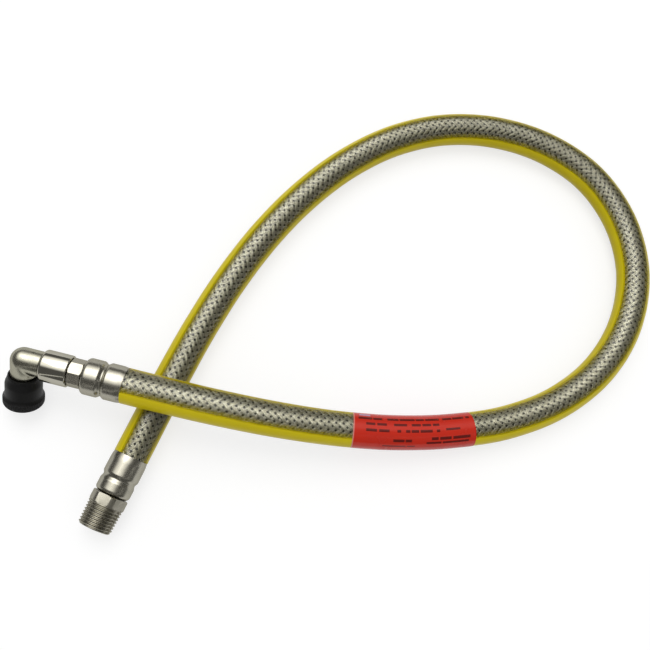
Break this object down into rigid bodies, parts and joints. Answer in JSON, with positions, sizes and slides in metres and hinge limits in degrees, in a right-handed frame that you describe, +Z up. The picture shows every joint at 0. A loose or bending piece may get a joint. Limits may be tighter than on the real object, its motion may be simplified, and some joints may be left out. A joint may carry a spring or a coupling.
{
  "type": "flexible gas hose",
  "caption": "Wire braided gas hose in a clear sheath, lying in one loop, with a taper threaded tail and a swivelling elbow with a capped bayonet plug.",
  "frame": {"origin": "middle of the footprint, on the surface that the hose lies on", "axes": "+X from the end fittings towards the loop's far bend, +Z up from the surface"},
  "size_m": [0.4233, 0.2881, 0.043],
  "materials": {
    "black_rubber": "matt rubber",
    "steel_wire": "bright drawn wire",
    "clear_sheathing": "clear flexible plastic with two yellow stripes",
    "red_film": "glossy printed film",
    "stainless_steel": "satin",
    "nickel_plate": "satin nickel plate",
    "polished_nickel": "polished nickel plate",
    "white_plastic": "matt",
    "black_plastic": "matt with fine ribs"
  },
  "bodies": {
    "hose": {"hose_liner": "black_rubber", "wire_braid": "steel_wire", "clear_sheath": "clear_sheathing", "red_label": "red_film", "elbow_end_ferrule": "stainless_steel", "thread_end_ferrule": "stainless_steel", "threaded_tail": "nickel_plate", "swivel_tail": "nickel_plate", "inner_seal_ring": "black_rubber", "outer_seal_ring": "black_rubber"},
    "elbow": {"bayonet_elbow": "nickel_plate", "swivel_collar": "polished_nickel", "thrust_washer": "white_plastic"},
    "cap": {"protective_cap": "black_plastic"}
  },
  "joints": [
    {"name": "elbow_swivel", "type": "hinge", "parent": "hose", "child": "elbow", "pos_m": [-0.19461, -0.04417, 0.03114], "axis": [-0.9717, 0.2357, -0.0172], "continuous": true},
    {"name": "cap_pull", "type": "slide", "parent": "elbow", "child": "cap", "axis": [-0.1485, -0.6657, -0.7312], "range_m": [0, 0.022]}
  ]
}
